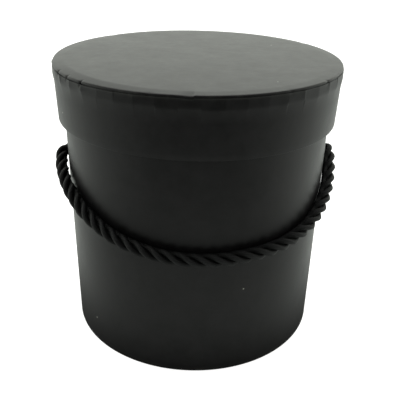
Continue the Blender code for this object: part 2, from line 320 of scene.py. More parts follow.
def paper_material(name, color, worn, roughness, specular, dust):
    """Smooth dyed paper: fine fibre grain, cloudy calendering, worn folds, dust and a painted
    highlight on cut edges.
    """
    material, place, add, feed = new_material(name, color, roughness, specular)
    fibres = noise_node(add, place, FIBRE_SCALE, 4.0, 0.6)
    clouds = noise_node(add, place, CLOUD_SCALE, 6.0, 0.75)
    patches = noise_node(add, place, PATCH_SCALE, 2.0, 0.5)

    darker, lighter = (tuple(share * channel for channel in color) for share in CLOUD_CONTRAST)
    base = mix_color(add, range_node(add, clouds, *MIDDLE), darker, lighter)
    scuffs = range_node(add, patches, 0.48, 0.68)
    wear = add("ShaderNodeAttribute", attribute_name="wear").outputs["Fac"]
    cut = add("ShaderNodeAttribute", attribute_name="cut_edge").outputs["Fac"]
    base = mix_color(add, multiply(add, wear, scuffs, WORN_MOST), base, worn)
    # painted highlight: a lighter line along the paper's cut edges
    base = mix_color(add, cut, base, CUT_EDGE_HIGHLIGHT_COLOR)
    if dust > 0.0:
        cells = add("ShaderNodeTexVoronoi", {"Vector": place, "Scale": DUST_SCALE})
        near = range_node(add, cells.outputs["Distance"], *DUST_SIZE, 1.0, 0.0)
        chosen = add("ShaderNodeSeparateColor", {"Color": cells.outputs["Color"]})
        few = range_node(add, chosen.outputs["Red"], *DUST_SHARE)
        base = mix_color(add, multiply(add, near, few, dust), base, DUST_COLOR)

    smooth, rough = roughness - CLOUD_ROUGHNESS, roughness + CLOUD_ROUGHNESS
    sheen = range_node(add, clouds, *WIDER, smooth, rough)
    grain = bump_node(add, fibres, 0.35, 0.03 * MM)
    normal = bump_node(add, patches, 0.6, 0.05 * MM, grain)
    feed(Base_Color=base, Roughness=sheen, Normal=normal)
    return material


def board_material():
    """Grey board of pressed waste paper: mottled, with light and dark fibre flecks."""
    material, place, add, feed = new_material("grey_board", (0.20, 0.19, 0.175), 0.9, 0.3)
    mottle = noise_node(add, place, 160.0, 4.0, 0.6)
    flecks = noise_node(add, place, 1100.0, 2.0, 0.5)
    share = range_node(add, mottle, *MIDDLE)
    base = mix_color(add, share, (0.15, 0.14, 0.13), (0.25, 0.24, 0.22))
    pale = range_node(add, flecks, 0.66, 0.72, 0.0, 0.6)
    base = mix_color(add, pale, base, (0.42, 0.40, 0.36))
    dark = range_node(add, flecks, 0.34, 0.28, 0.0, 0.6)
    base = mix_color(add, dark, base, (0.06, 0.055, 0.05))
    feed(Base_Color=base, Normal=bump_node(add, mottle, 0.4, 0.08 * MM))
    return material


def cord_material():
    """Black rayon-like cord: fine slanting yarns over each strand, with painted shade in the yarn
    valleys and on the strands' sides.
    """
    color = (0.006, 0.006, 0.0065)
    material, place, add, feed = new_material("black_twisted_cord", color, 0.55, 0.085)
    strand = add("ShaderNodeUVMap", uv_map="strand").outputs["UV"]
    parts = add("ShaderNodeSeparateXYZ", {"Vector": strand}).outputs
    wobble = noise_node(add, place, 300.0, 2.0, 0.5)
    fine = noise_node(add, place, 2600.0, 3.0, 0.6)

    around = multiply(add, parts["X"], math.tau * YARNS_AROUND)
    along = multiply(add, parts["Y"], math.tau * YARN_SLANT)
    slanting = math_node(add, "ADD", around, along)
    phase = math_node(add, "ADD", slanting, multiply(add, wobble, YARN_WOBBLE))
    ridge = range_node(add, math_node(add, "SINE", phase), -1.0, 1.0)

    # painted shade: darker in the valleys between yarns, lighter on their crests
    base = mix_color(add, ridge, (0.0025, 0.0025, 0.0027), (0.0075, 0.0075, 0.0078))
    # painted shade: each strand darkens towards its sides, where the grooves lie
    aside = math_node(add, "ABSOLUTE", parts["X"])
    groove_shade = range_node(add, aside, *GROOVE_SHADE_SHARE)
    base = mix_color(add, groove_shade, base, (0.0012, 0.0012, 0.0013))
    sheen = range_node(add, fine, *WIDER, 0.48, 0.66)
    yarns = bump_node(add, ridge, 0.6, 0.12 * MM)
    normal = bump_node(add, fine, 0.4, 0.05 * MM, yarns)
    feed(Base_Color=base, Roughness=sheen, Normal=normal)
    return material


def tape_material():
    """Black adhesive tape with a low gloss and fine stretch lines."""
    material, place, add, feed = new_material("black_tape", (0.010, 0.010, 0.010), 0.3, 0.5)
    lines = noise_node(add, place, 700.0, 2.0, 0.5)
    sheen = range_node(add, lines, *WIDER, 0.24, 0.4)
    share = range_node(add, lines, *WIDER)
    base = mix_color(add, share, (0.007, 0.007, 0.007), (0.014, 0.014, 0.014))
    normal = bump_node(add, lines, 0.2, 0.05 * MM)
    feed(Base_Color=base, Roughness=sheen, Normal=normal)
    return material


def floor_material():
    """Matt white studio floor that glows a little, as a backlit sweep does."""
    look = ("studio_floor", (0.35, 0.35, 0.35), 0.8, 0.1, (1.0, 1.0, 0.995), FLOOR_GLOW)
    material, place, add, feed = new_material(*look)
    clouds = noise_node(add, place, 3.0, 2.0, 0.5)
    share = range_node(add, clouds, *WIDER)
    base = mix_color(add, share, (0.34, 0.34, 0.34), (0.36, 0.36, 0.355))
    feed(Base_Color=base)
    return material


def bounce_material():
    """The floor's light on the box: dim under and behind it, and fading far in front."""
    look = ("floor_bounce", (0.1, 0.1, 0.1), 0.8, 0.1, BOUNCE_COLOR)
    material, place, add, feed = new_material(*look)
    oval = add("ShaderNodeVectorMath", {0: place, 1: SHADE_SHAPE}, operation="MULTIPLY")
    inputs = {0: oval.outputs["Vector"], 1: SHADE_PLACE}
    away = add("ShaderNodeVectorMath", inputs, operation="DISTANCE")
    sideways = add("ShaderNodeVectorMath", {0: place, 1: SIDE_WAY}, operation="DOT_PRODUCT")
    parts = add("ShaderNodeSeparateXYZ", {"Vector": place}).outputs
    middle = math_node(add, "ABSOLUTE", parts["X"])
    glow = multiply(
        add,
        range_node(add, away.outputs["Value"], *SHADE_FADE, SMOOTH),
        BOUNCE_GLOW,
        range_node(add, parts["Y"], *FRONT_FADE, SMOOTH),
        range_node(add, parts["Y"], *BACK_FADE),
        range_node(add, sideways.outputs["Value"], *SIDE_FADE),
        range_node(add, middle, *NEAR_FADE),
        range_node(add, middle, *WIDE_FADE),
    )
    feed(Emission_Strength=glow)
    return material


# ---- meshes
SHARP_ANGLE = 35.0  # degrees, above which an edge is drawn sharp
FILLET_STEPS = 6
NEARLY_STRAIGHT = 0.49 * math.pi  # half of a corner's angle, above which it isn't rounded
SAME_PLACE = 1e-7
TINY = 1e-12
NOISE_SHIFT = 17.3


def mesh_object(name, points, faces, material, sharp=SHARP_ANGLE):
    """Make a smooth-shaded object from points and faces."""
    mesh = bpy.data.meshes.new(name)
    mesh.from_pydata(points.tolist(), [], faces)
    mesh.update()
    mesh.shade_smooth()
    mesh.set_sharp_from_angle(angle=math.radians(sharp))
    mesh.materials.append(material)
    return new_object(name, mesh)


def unit(vectors):
    """Return vectors with their length made 1."""
    return vectors / np.maximum(norm(vectors, axis=-1, keepdims=True), TINY)


def filleted(corners, radius, step):
    """Round a polyline's inner corners and fill its straights with points a step apart."""
    corners = [np.array(corner, float) for corner in corners]
    line = [corners[0]]
    for before, corner, after in zip(corners, corners[1:], corners[2:]):
        back, ahead = unit(before - corner), unit(after - corner)
        half = 0.5 * math.acos(np.clip(np.dot(back, ahead), -1.0, 1.0))
        if half > NEARLY_STRAIGHT:
            line.append(corner)
            continue
        reach = radius / math.tan(half)
        middle = corner + unit(back + ahead) * radius / math.sin(half)
        first = corner + back * reach - middle
        last = corner + ahead * reach - middle
        sweep = math.pi - 2.0 * half
        for share in np.linspace(0.0, 1.0, FILLET_STEPS):
            blend = math.sin((1.0 - share) * sweep) * first + math.sin(share * sweep) * last
            line.append(middle + blend / math.sin(sweep))
    line.append(corners[-1])
    filled = [line[:1]]
    for start, end in zip(line, line[1:]):
        count = max(1, math.ceil(norm(end - start) / step))
        filled.append(np.linspace(start, end, count + 1)[1:])
    return np.concatenate(filled)


def outline_normals(outline):
    """Return the unit normals of an outline in the (radius, height) plane."""
    along = unit(np.gradient(outline, axis=0))
    return np.stack([along[:, 1], -along[:, 0]], axis=1)


def even_angles(count=TURN_STEPS):
    """Return angles evenly round the circle."""
    return np.arange(count) * math.tau / count


def nearness(outline, places, width):
    """Return 1 at an outline's points on the given places, falling to 0 away from them."""
    near = np.zeros(len(outline))
    for place in places:
        away = norm(outline - np.array(place), axis=1)
        near = np.maximum(near, np.exp(-((away / width) ** 2)))
    return near


def spun(angles, radius, level):
    """Turn a section's radii and heights round Z into points, one section for each angle."""
    turns = np.stack([np.sin(angles), -np.cos(angles)], axis=1)
    flat = turns[:, None, :] * radius[:, :, None]
    level = np.broadcast_to(level, flat.shape[:2])
    return np.concatenate([flat, level[:, :, None]], axis=2).reshape(-1, 3)


def spun_faces(count, size, first=0, closed=False):
    """Return the faces between neighbouring sections, which are open lines or closed loops."""
    faces = []
    for turn in range(count):
        here, there = first + turn * size, first + (turn + 1) % count * size
        for index in range(size if closed else size - 1):
            after = (index + 1) % size
            faces.append((here + index, there + index, there + after, here + after))
    return faces


def turned_over(faces):
    """Return the faces with their other side out."""
    return [face[::-1] for face in faces]


def paper_shell(
    name, outline, thickness, material, angles, relief=None, folds=(), cuts=(), sink=None
):
    """Sweep an outline round Z into a sheet of paper.

    Relief raises the paper along its normal, and sink lowers it. The paper is worn at its
    folds and carries a painted highlight along its cuts.
    """
    normals = outline_normals(outline)[None, :, :]
    radii, levels = outline[None, :, 0], outline[None, :, 1]
    height = relief(angles[:, None], radii, levels) if relief else np.zeros((len(angles), 1))
    fall = sink(angles[:, None], radii, levels) if sink else 0.0
    layers = []
    for depth in (0.0, thickness):
        radius = np.maximum(radii + normals[:, :, 0] * (height - depth), 0.0)
        layers.append(spun(angles, radius, levels + normals[:, :, 1] * (height - depth) - fall))
    count, size = len(angles), len(outline)
    under = count * size
    ends_at_axis = outline[-1, 0] <= SAME_PLACE
    faces = spun_faces(count, size) + turned_over(spun_faces(count, size, under))
    for turn in range(count):
        here, there = turn * size, (turn + 1) % count * size
        faces.append((under + here, under + there, there, here))
        if not ends_at_axis:
            here, there = here + size - 1, there + size - 1
            faces.append((here, there, under + there, under + here))
    obj = mesh_object(name, np.concatenate(layers), faces, material)
    for attribute, places, width in (("wear", folds, WEAR_WIDTH), ("cut_edge", cuts, CUT_HIGHLIGHT_WIDTH)):
        values = np.tile(nearness(outline, places, width), 2 * count)
        obj.data.attributes.new(attribute, "FLOAT", "POINT").data.foreach_set("value", values)
    if ends_at_axis:
        merge_points(obj)
    return obj


def swept_board(name, node, outline, material, sink):
    """Sweep a closed outline round Z into one of the lid's boards, lowered by sink."""
    angles = even_angles()
    radii, levels = outline[None, :, 0], outline[None, :, 1]
    points = spun(angles, radii, levels - sink(angles[:, None], radii, levels))
    faces = turned_over(spun_faces(len(angles), len(outline), closed=True))
    obj = mesh_object(name, points, faces, material)
    merge_points(obj)
    finish_piece(obj, "lid", "board", node)


def merge_points(obj):
    """Join the points that a sweep leaves on top of each other on the axis."""
    builder = bmesh.new()
    builder.from_mesh(obj.data)
    bmesh.ops.remove_doubles(builder, verts=builder.verts, dist=SAME_PLACE)
    builder.to_mesh(obj.data)
    builder.free()


def waves(angles, radius, height, size, scale, seed):
    """Return smooth waves, up to about the size, at points given by angle, radius and height."""
    x, y, z = np.broadcast_arrays(radius * np.sin(angles), -radius * np.cos(angles), height)
    shift = NOISE_SHIFT * seed
    values = [
        noise.noise(Vector((a * scale + shift, b * scale - shift, c * scale)))
        for a, b, c in zip(x.ravel(), y.ravel(), z.ravel())
    ]
    return size * np.array(values).reshape(x.shape)


def step_up(value, low, high):
    """Rise smoothly from 0 at low to 1 at high."""
    share = np.clip((value - low) / (high - low), 0.0, 1.0)
    return share * share * (3.0 - 2.0 * share)


def angle_from(angles, centre):
    """Return the signed angle from a centre, between -pi and pi."""
    return (angles - centre + math.pi) % math.tau - math.pi


def finish_piece(obj, body, slot, *nodes):
    """Let a piece move with its body and stand for its CAD nodes; its slot is not used."""
    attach(obj, body)
    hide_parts(*nodes)
    return obj


# ---- cord
def smooth_route(route, count):
    """Return evenly spaced points on a smooth curve through the route's points."""
    knots = travelled(route)
    last = len(route) - 1
    places = np.arange(last + 1)
    before, after = np.maximum(places - 1, 0), np.minimum(places + 1, last)
    tangents = (route[after] - route[before]) / (knots[after] - knots[before])[:, None]
    tangents[0] = (math.copysign(1.0, route[0, 0]), 0.0, 0.0)
    tangents[last] = (-math.copysign(1.0, route[last, 0]), 0.0, 0.0)

    along = np.linspace(0.0, knots[last], count)
    place = np.clip(np.searchsorted(knots, along) - 1, 0, last - 1)
    width = (knots[place + 1] - knots[place])[:, None]
    share = (along - knots[place])[:, None] / width
    square, cube = share**2, share**3
    points = route[place] * (2.0 * cube - 3.0 * square + 1.0)
    points += route[place + 1] * (3.0 * square - 2.0 * cube)
    points += tangents[place] * width * (cube - 2.0 * square + share)
    return points + tangents[place + 1] * width * (cube - square)


def travelled(line):
    """Return how far along a line each of its points lies."""
    return np.concatenate([[0.0], np.cumsum(norm(np.diff(line, axis=0), axis=1))])


def respaced(line, count):
    """Return points evenly spaced along a line."""
    along = travelled(line)
    places = np.linspace(0.0, along[-1], count)
    return np.stack([np.interp(places, along, line[:, axis]) for axis in range(3)], axis=1)


def even_out(line, spacing):
    """Move a line's points so that neighbours are the given distance apart."""
    for start in (0, 1):
        end = start + (len(line) - start) // 2 * 2
        near, far = slice(start, end, 2), slice(start + 1, end + 1, 2)
        gap = line[far] - line[near]
        size = norm(gap, axis=1, keepdims=True)
        move = gap * (0.5 * (size - spacing) / size)
        line[near] += move
        line[far] -= move


def push_apart(line, first, second, nearest):
    """Move the given pairs of a line's points apart where they are too close."""
    gap = line[second] - line[first]
    size = norm(gap, axis=1)
    close = size < nearest
    if close.any():
        move = gap[close] * (0.5 * (nearest - size[close]) / size[close])[:, None]
        total = np.zeros_like(line)
        touched = np.zeros(len(line))
        for ends, away in ((first[close], -move), (second[close], move)):
            np.add.at(total, ends, away)
            np.add.at(touched, ends, 1.0)
        line += total / np.maximum(touched, 1.0)[:, None]


def tied_knot():
    """Pull an overhand knot tight and return its centreline, in cord diameters.

    It starts from a loose polynomial overhand knot. Each round draws both ends apart,
    evens out the spacing and pushes apart any two stretches that come too close.
    """
    turn = np.linspace(-KNOT_TURN, KNOT_TURN, KNOT_SAMPLES)
    line = np.stack(
        [(turn**5 - 10.0 * turn) / 5.0, turn**3 - 3.0 * turn, turn**4 - 4.0 * turn**2], axis=1
    )
    scale = KNOT_LENGTH / travelled(line)[-1]
    count = int(KNOT_LENGTH / KNOT_SPACING) + 1
    line = respaced(line, count) * scale
    line[:, 1:] -= line[:, 1:].mean(0)
    first, second = np.triu_indices(count, int(round(KNOT_APART / KNOT_SPACING)))
    for _ in range(KNOT_ROUNDS):
        line[0, 0] -= KNOT_PULL
        line[-1, 0] += KNOT_PULL
        line[0, 1:] = 0.0
        line[-1, 1:] = 0.0
        line[1:-1] += KNOT_SMOOTHING * ((line[:-2] + line[2:]) * 0.5 - line[1:-1])
        for _ in range(KNOT_PASSES):
            even_out(line, KNOT_SPACING)
            push_apart(line, first, second, KNOT_NEAREST)
    return line


def placed_knot(side):
    """Return the knot's centreline inside one wall, from the hole to the hanging tail."""
    line = tied_knot() * 2.0 * CORD_RADIUS
    ahead = unit(line[KNOT_END] - line[0])
    tail = line[-1] - line[-1 - KNOT_END]
    down = -unit(tail - ahead * np.dot(tail, ahead))
    across = np.cross(down, ahead)
    local = (line - line[0]) @ np.stack([ahead, across, down], axis=1)
    inward = -side
    middle = 0.5 * (KNOT_LOW.x + KNOT_HIGH.x) * inward
    half = len(local) // 2
    core = local[half - KNOT_CORE : half + KNOT_CORE].mean(0)
    local[:, 0] += -abs(middle) - core[0]
    turned = np.stack([inward * local[:, 0], inward * local[:, 1], local[:, 2]], axis=1)
    turned[:, 2] += HOLE_HEIGHT
    return turned


def cord_frames(line):
    """Return a pair of normals carried along a line without twisting."""
    along = unit(np.gradient(line, axis=0))
    sides = [unit(np.cross(along[0], (0.0, 0.0, 1.0)))]
    for tangent in along[1:]:
        sides.append(unit(sides[-1] - tangent * np.dot(sides[-1], tangent)))
    sides = np.array(sides)
    return sides, np.cross(along, sides)


def ring_points(line, sides, ups, radius, angles):
    """Return a ring of points round each point of a line."""
    across = sides[:, None, :] * (radius * np.cos(angles))[:, :, None]
    upwards = ups[:, None, :] * (radius * np.sin(angles))[:, :, None]
    return (line[:, None, :] + across + upwards).reshape(-1, 3)


def ring_faces(rows, size, first=0):
    """Return the faces between neighbouring rings of points."""
    faces = []
    for row in range(rows - 1):
        low, high = first + row * size, first + (row + 1) * size
        for index in range(size):
            after = (index + 1) % size
            faces.append((low + index, low + after, high + after, high + index))
    return faces


def strand_ring():
    """Return one turn of the cord's section: radius, angle and angle about the strand."""
    rings = []
    reach = math.radians(STRAND_REACH)
    for strand in range(STRANDS):
        for local in np.linspace(-reach, reach, STRAND_POINTS):
            x = STRAND_OFFSET + STRAND_RADIUS * math.cos(local)
            y = STRAND_RADIUS * math.sin(local)
            angle = math.atan2(y, x) + strand * math.tau / STRANDS
            rings.append((math.hypot(x, y), angle, local))
    return np.array(rings)


def pressed_radius(line, along, sides, ups, angles):
    """Return how far the cord is filled out where it faces the wall."""
    out = norm(line[:, :2], axis=1)
    inward = -line[:, :2] / out[:, None]
    beside = (inward * sides[:, :2]).sum(1)[:, None] * np.cos(angles)
    above = (inward * ups[:, :2]).sum(1)[:, None] * np.sin(angles)
    clear = out - BODY_LINE(line[:, 2])
    reach = np.minimum(clear - PRESSED_GAP, PRESSED_REACH[0] * CORD_RADIUS)
    reach *= 1.0 - step_up(clear / CORD_RADIUS, *PRESSED_REACH)
    reach *= step_up(along, *PRESSED_FROM)
    reach = np.maximum(reach, UNPRESSED_REACH * CORD_RADIUS)
    return reach[:, None] * step_up(beside + above, *PRESSED_SHARE)


def twisted_cord(name, line, phases, material, pressed=False):
    """Sweep the three-strand section along a line as one closed mesh.

    A pressed cord lies against the box, where its strands are squeezed together.
    """
    sides, ups = cord_frames(line)
    along = travelled(line)
    ring = strand_ring()
    angles = ring[None, :, 1] + phases[:, None]
    rate, row = CORD_WOBBLE_PLACE
    steps = rate * phases / math.tau
    wobble = np.array([noise.noise(Vector((step, row, 0.0))) for step in steps])
    radius = ring[None, :, 0] * (1.0 + CORD_WOBBLE * wobble[:, None])
    if pressed:
        radius = np.maximum(radius, pressed_radius(line, along, sides, ups, angles))
    rows, size = len(line), len(ring)
    last, total = (rows - 1) * size, rows * size
    points = np.concatenate([ring_points(line, sides, ups, radius, angles), line[:1], line[-1:]])
    faces = ring_faces(rows, size)
    for index in range(size):
        after = (index + 1) % size
        faces.append((total, after, index))
        faces.append((total + 1, last + index, last + after))
    obj = mesh_object(name, points, faces, material, CORD_SHARP_ANGLE)

    here = ring[:, 2] / math.tau
    beyond = np.maximum(np.roll(here, -1), here)
    level = along[:, None] / (math.tau * STRAND_RADIUS)
    low, high = level[:-1], level[1:]
    places = np.zeros((rows - 1, size, 4, 2))
    places[..., 0] = np.stack([here, beyond, beyond, here], axis=1)
    places[..., 1] = np.stack([low, low, high, high], axis=2)
    places = np.concatenate([places.reshape(-1, 2), np.zeros((6 * size, 2))])
    obj.data.uv_layers.new(name="strand").data.foreach_set("uv", places.ravel())
    return obj


def build_cord(material, tape):
    """Make the hanging cord, the knot at each end of it and the taped ends."""
    hanging = smooth_route(np.array(CORD_ROUTE_MM) * MM, ROUTE_POINTS)
    left = placed_knot(-1.0)[::-1]
    right = placed_knot(1.0)
    left = left[left[:, 0] > hanging[0, 0] + ROUTE_GAP]
    right = right[right[:, 0] < hanging[-1, 0] - ROUTE_GAP]
    whole = np.concatenate([left, hanging, right])
    whole = respaced(whole, round(travelled(whole)[-1] / CORD_STEP) + 1)
    for _ in range(ROUTE_PASSES):
        whole[1:-1] = 0.25 * whole[:-2] + 0.5 * whole[1:-1] + 0.25 * whole[2:]
    phases = math.tau * np.arange(len(whole)) * CORD_STEP / CORD_LAY
    first = int(np.argmin(norm(whole - hanging[0], axis=1)))
    last = int(np.argmin(norm(whole - hanging[-1], axis=1)))
    spans = {
        "cord_left_knot": (slice(0, first + 1), "left_knot"),
        "cord_hanging": (slice(first, last + 1), "handle_cord"),
        "cord_right_knot": (slice(last, len(whole)), "right_knot"),
    }
    for name, (span, node) in spans.items():
        pressed = name == "cord_hanging"
        obj = twisted_cord(name, whole[span], phases[span], material, pressed)
        finish_piece(obj, "handle", "cord", node)
    tapes = [
        build_tape("tape_left", whole[:TAPE_ROWS], phases[:TAPE_ROWS], tape, "left_end_tape"),
        build_tape("tape_right", whole[-TAPE_ROWS:], phases[-TAPE_ROWS:], tape, "right_end_tape"),
    ]
    line = whole[first : last + 1]
    -BODY_LINE(HOLE_HEIGHT)
    float(travelled(line)[-1])


def build_tape(name, line, phases, material, node):
    """Make the tape drawn tight round the cord's end, following its strands a little."""
    sides, ups = cord_frames(line)
    turn = even_angles(TAPE_POINTS)
    lobes = np.cos(STRANDS * (turn[None, :] - phases[:, None]))
    overlap = step_up(angle_from(turn, TAPE_LAP_ANGLE), *TAPE_LAP_SPAN)[None, :]
    outer = CORD_RADIUS * (TAPE_FIT + TAPE_LOBES * lobes) + TAPE_LAP * overlap
    layers = [ring_points(line, sides, ups, radius, turn) for radius in (outer, outer - TAPE)]
    rows, size = len(line), len(turn)
    under = size * rows
    end = under - size
    faces = ring_faces(rows, size) + turned_over(ring_faces(rows, size, under))
    for index in range(size):
        after = (index + 1) % size
        faces.append((under + index, under + after, after, index))
        faces.append((end + index, end + after, under + end + after, under + end + index))
    obj = mesh_object(name, np.concatenate(layers), faces, material)
    return finish_piece(obj, "handle", "end_tape", node)


# ---- body
SEAM_ANGLE = math.radians(158.0)
SEAM_WIDTH = math.radians(7.0)
SEAM_FADE = 0.6  # share of its width at which the lap starts to fade
SEAM_RISE = 0.22 * MM
SEAM_EDGE = (-0.004, 0.004)  # radians
SEAM_COLUMN = 0.003  # radians between the mesh's columns at a seam
BODY_SKIN = 1.0 * MM  # depth to which the cover counts as outside


def body_relief(angles, radius, height):
    """Raise the body's paper: slow waves in the wall and the lap of its upright seam."""
    lap = angle_from(angles, SEAM_ANGLE)
    seam = step_up(lap, *SEAM_EDGE) * (1.0 - step_up(lap, SEAM_FADE * SEAM_WIDTH, SEAM_WIDTH))
    outside = radius > BODY_LINE(height) - BODY_SKIN
    return waves(angles, radius, height, *WALL_WAVES) + SEAM_RISE * seam * outside


def seam_angles(base, seam):
    """Add close angles on both sides of a seam's edge to even ones."""
    extra = [seam + SEAM_COLUMN * index for index in range(-2, 3)]
    return np.unique(np.round(np.concatenate([base, extra]) % math.tau, 7))


def punch_holes(obj):
    """Cut both cord holes through a paper wall."""
    bpy.ops.mesh.primitive_cylinder_add(
        vertices=HOLE_POINTS,
        radius=HOLE_RADIUS,
        depth=CUTTER_LENGTH * BODY_HIGH.x,
        location=(0.0, 0.0, HOLE_HEIGHT),
        rotation=(0.0, 0.5 * math.pi, 0.0),
    )
    cutter = bpy.context.object
    cut = obj.modifiers.new("cord_holes", "BOOLEAN")
    cut.operation = "DIFFERENCE"
    cut.solver = "EXACT"
    cut.object = cutter
    bpy.context.view_layer.update()
    evaluated = obj.evaluated_get(bpy.context.evaluated_depsgraph_get())
    mesh = bpy.data.meshes.new_from_object(evaluated)
    obj.modifiers.remove(cut)
    obj.data = mesh
    bpy.data.objects.remove(cutter, do_unlink=True)


def build_body(cover, lining):
    """Make the body's cover paper, its underside and its linings."""
    bottom, top = BODY_LOW.z, BODY_HIGH.z
    fold_end = top - RIM_FOLD
    foot = BODY_LINE(bottom)
    corners = [
        (foot - UNDER_FOLD, bottom),
        (foot, bottom),
        (BODY_LINE(top), top),
        (LINING_LINE(top) - PAPER, top),
        (LINING_LINE(fold_end) - PAPER, fold_end),
    ]
    outline = filleted(corners, FOLD_RADIUS, COVER_STEP)
    angles = seam_angles(even_angles(), SEAM_ANGLE)
    wrap = paper_shell("body_cover", outline, PAPER, cover, angles, body_relief, folds=corners[1:4])
    punch_holes(wrap)
    finish_piece(wrap, "box", "cover_paper", "body_wrap")

    place = ("body_lining", LINING_LINE, PAPER)
    wall = wall_lining("body_wall_lining", *place, LINING_STEP, lining)
    punch_holes(wall)
    finish_piece(wall, "box", "lining_paper", "body_lining")

    paper_disc("body_floor_lining", "floor_lining", "box", "lining_paper", lining, disc_relief)
    paper_disc("base_cover", "base_paper", "box", "cover_paper", cover)


def lining_relief(angles, radius, height):
    """Raise a wall lining by slow waves."""
    return waves(angles, radius, height, *LINING_WAVES)


def wall_lining(name, node, line, depth, step, material):
    """Make a paper inside a wall, at a depth inside a line and at its CAD node's height."""
    low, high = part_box(node)
    corners = [(line(height) - depth, height) for height in (high.z, low.z)]
    outline = filleted(corners, FOLD_RADIUS, step)
    return paper_shell(name, outline, PAPER, material, even_angles(), lining_relief)


def disc_relief(angles, radius, height):
    """Raise a flat paper by faint cockling that fades out at its middle."""
    return waves(angles, radius, height, *DISC_WAVES) * step_up(radius, *FLAT_MIDDLE)


def paper_disc(name, node, body, slot, material, relief=None):
    """Make a flat round paper where a CAD disc lies."""
    low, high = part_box(node)
    outline = filleted([(high.x, high.z), (0.0, high.z)], FOLD_RADIUS, LINING_STEP)
    angles = even_angles(DISC_STEPS)
    disc = paper_shell(name, outline, high.z - low.z, material, angles, relief)
    finish_piece(disc, body, slot, node)


# ---- lid
LID_WALL_BOARD = 1.5 * MM
LID_SKIN = 0.2 * MM  # depth to which the skirt paper counts as outside
LID_SEAM_ANGLE = math.radians(-151.0)
LID_SEAM_FADE = (0.09, 0.12)  # radians
LID_SEAM_RISE = 0.15 * MM
BAND_MARGIN = 1.2 * MM  # below the tabs, where the finer mesh starts
BAND_STEP = 0.5 * MM
TOP_SPAN = (-3.0 * MM, -1.0 * MM)  # from the top, over which sinking sets in
SKIRT_SINK = 5.0 * MM  # from the skirt paper's upper edge
SKIRT_DENTS = (0.7, 2.5 * MM)  # share of the top's dents, and their reach down the skirt
TOP_DENTS = 2.0 * MM  # reach of the dents in from the top's edge
BOARD_ROUND = 0.2 * MM
RING_STEP = 2.0 * MM
BOARD_STEP = 1.0 * MM

# Dents along the lid's top edge: degrees from the front, depth and half width in mm
EDGE_DENTS = [
    (-65.0, 0.45, 0.6), (-56.5, 0.45, 0.6), (-47.3, 0.60, 0.6), (-19.0, 0.20, 1.8),
    (29.5, 0.20, 1.6), (49.5, 0.35, 1.4), (121.0, 0.30, 1.7), (-139.0, 0.35, 2.2),
]
# Tab borders where one tab lies over the next: degrees from the front and height in mm
TAB_RIDGES = [(-61.8, 0.18), (-54.3, 0.22), (-46.8, 0.30), (35.7, 0.12), (50.7, 0.14)]
RIDGE_WIDTH = 3.0 * MM
RIDGE_SPAN = (-0.5 * MM, 1.5 * MM)  # from the tabs' ends, over which ridges rise

# Columns of the lid's mesh: in shares of a tab's pitch, and of a dent's half width
TAB_SHARES = (0.0, 0.025, 0.06, 0.11, 0.25, 0.5, 0.75, 0.89, 0.94, 0.975)
DENT_SHARES = (-1.5, -0.8, -0.3, 0.3, 0.8, 1.5)
HASH = (12.9898, 78.233, 43758.5453)  # scatters whole numbers evenly


def edge_dents(angles):
    """Return how deep the lid's top edge is dented at each angle."""
    depth = np.zeros(np.shape(angles))
    for centre, deep, width in EDGE_DENTS:
        away = angle_from(angles, math.radians(centre)) * LID_RADIUS
        depth = np.maximum(depth, deep * MM * np.exp(-((away / (width * MM)) ** 2)))
    return depth


def tab_ridges(angles):
    """Return how far the skirt paper stands out over the tabs that overlap most."""
    height = np.zeros(np.shape(angles))
    for centre, rise in TAB_RIDGES:
        away = angle_from(angles, math.radians(centre)) * LID_RADIUS
        height = np.maximum(height, rise * MM * np.exp(-np.abs(away) / RIDGE_WIDTH))
    return height


def tab_columns():
    """Return the angles of the lid's mesh: close at the tabs' edges, wider between."""
    tabs = range(TAB_COUNT)
    angles = [TAB_PITCH * (tab + share) + TAB_START for tab in tabs for share in TAB_SHARES]
    angles += [LAP_ANGLE, LAP_ANGLE + 0.5 * LAP_STEP, LAP_ANGLE + LAP_STEP]
    for centre, _, width in EDGE_DENTS:
        half = width * MM / LID_RADIUS
        angles += [math.radians(centre) + share * half for share in DENT_SHARES]
    return np.unique(np.round(np.array(angles) % math.tau, 5))


def uneven(number, seed):
    """Return a fixed value from -1 to 1 that differs from tab to tab."""
    value = np.sin(HASH[0] * (number % TAB_COUNT) + HASH[1] * seed) * HASH[2]
    return 2.0 * (value - np.floor(value)) - 1.0


def tab_lift(angles, height):
    """Return how far the skirt paper stands out over the folded tabs beneath it.

    Each tab is nearly flat, so the band over them is a many-sided ring with slightly
    uneven, rounded corners. It leans in a little towards the lid's top.
    """
    place = (angles - TAB_START) / TAB_PITCH
    tab = np.floor(place)
    share = place - tab
    corner = TAB_UNEVEN * (uneven(tab, 1) * (1.0 - share) + uneven(tab + 1.0, 1) * share)
    beside = np.minimum(share, 1.0 - share) * TAB_PITCH * LID_RADIUS
    rounded = np.sqrt(beside**2 + TAB_CORNER**2) - TAB_CORNER
    chord = beside**2 / (2.0 * LID_RADIUS) - rounded * math.tan(0.5 * TAB_PITCH)
    bottom = TOP_LOW.z + TAB_LENGTHS * uneven(tab, 2)
    foot = bottom - LEAN_FOOT
    lean = TAB_LEAN * (1.0 + LEAN_UNEVEN * uneven(tab, LEAN_SEED))
    lean = lean * np.clip((height - foot) / (SKIRT_HIGH.z - foot), 0.0, 1.0)
    return (TAB_LIFT + chord + corner - lean) * step_up(height - bottom, *TAB_SPAN)


